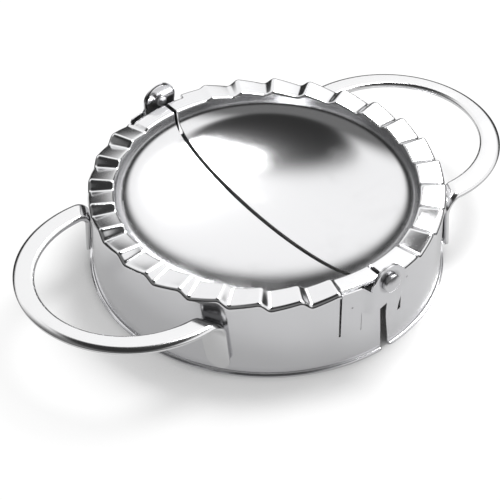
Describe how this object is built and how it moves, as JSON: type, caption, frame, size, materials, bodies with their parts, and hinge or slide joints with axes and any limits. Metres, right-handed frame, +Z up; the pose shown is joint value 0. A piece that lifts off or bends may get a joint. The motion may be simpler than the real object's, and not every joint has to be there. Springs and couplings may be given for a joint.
{
  "type": "empanada press",
  "caption": "Folding stainless empanada press: hinged half rings with bowls, toothed crimping rims, a cutting wall below and flat loop handles",
  "frame": {"origin": "middle of the open press at the height of the table", "axes": "+X across both handles, +Y along the hinge axis, +Z up; the press lies open, crimping rim up"},
  "size_m": [0.188, 0.1286, 0.0363],
  "materials": {
    "wall_sheet": "satin to mirror polished stainless steel sheet",
    "bowl_sheet": "polished stainless steel sheet, drawn and fluted",
    "handle_strap": "polished stainless steel strap",
    "rivet": "polished steel rivet, domed head"
  },
  "bodies": {
    "left_half": {"left_cutter_wall": "wall_sheet", "left_crimp_bowl": "bowl_sheet", "left_handle": "handle_strap", "front_rivet": "rivet", "back_rivet": "rivet"},
    "right_half": {"right_cutter_wall": "wall_sheet", "right_crimp_bowl": "bowl_sheet", "right_handle": "handle_strap"}
  },
  "joints": [
    {"name": "fold_hinge", "type": "hinge", "parent": "left_half", "child": "right_half", "pos_m": [0, 0, 0.03035], "axis": [0, -1, 0], "range_deg": [-3, 180]}
  ]
}
